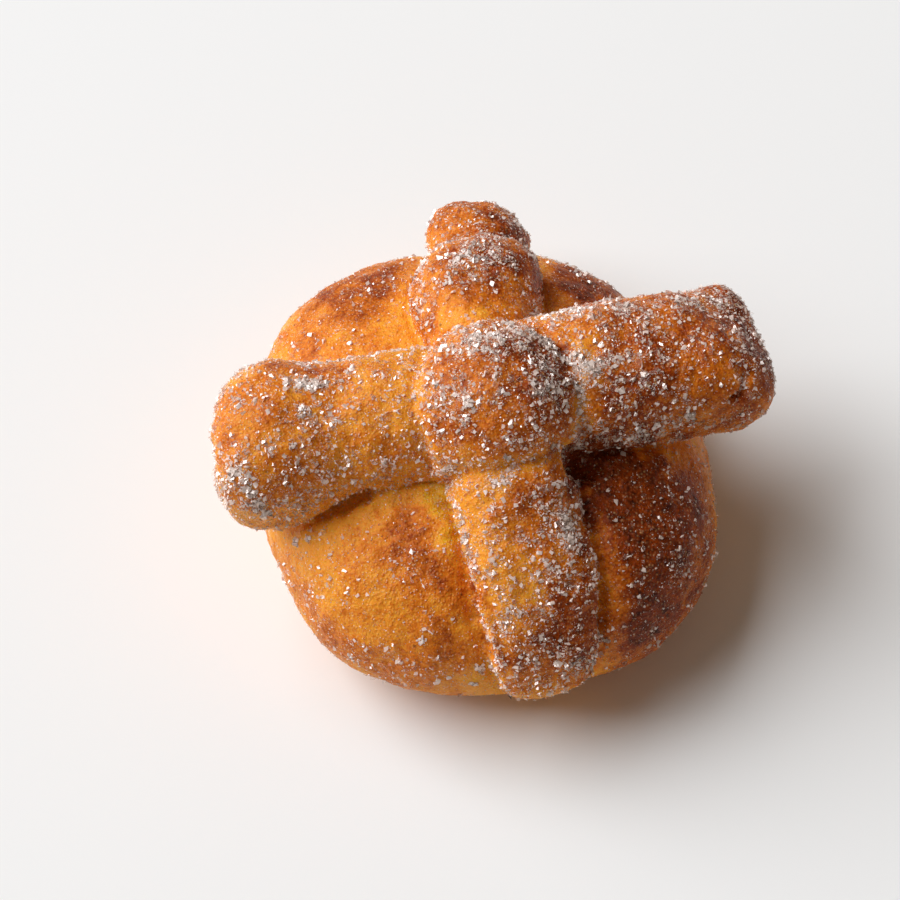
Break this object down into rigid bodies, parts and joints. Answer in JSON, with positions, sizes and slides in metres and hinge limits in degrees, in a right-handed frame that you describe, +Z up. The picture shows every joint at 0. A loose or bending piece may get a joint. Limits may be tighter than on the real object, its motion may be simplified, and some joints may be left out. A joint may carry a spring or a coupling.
{
  "type": "pan de muerto",
  "caption": "Small round sweet bread with bone-shaped rolls of dough crossed over its top, a ball of dough where they meet and a coat of coarse sugar.",
  "frame": {"origin": "on the flat underside of the bun, straight below the ball of dough", "axes": "+Z up, +X towards the right bone, -Y towards the front bone"},
  "size_m": [0.0872, 0.0876, 0.05],
  "materials": {
    "crust_gold": "matte",
    "crust_brown": "matte",
    "sugar": "satin"
  },
  "bodies": {
    "root": {"bun": "crust_gold", "ball": "crust_brown", "bone_left": "crust_brown", "bone_right": "crust_brown", "bone_front": "crust_brown", "bone_back": "crust_brown"}
  },
  "joints": []
}
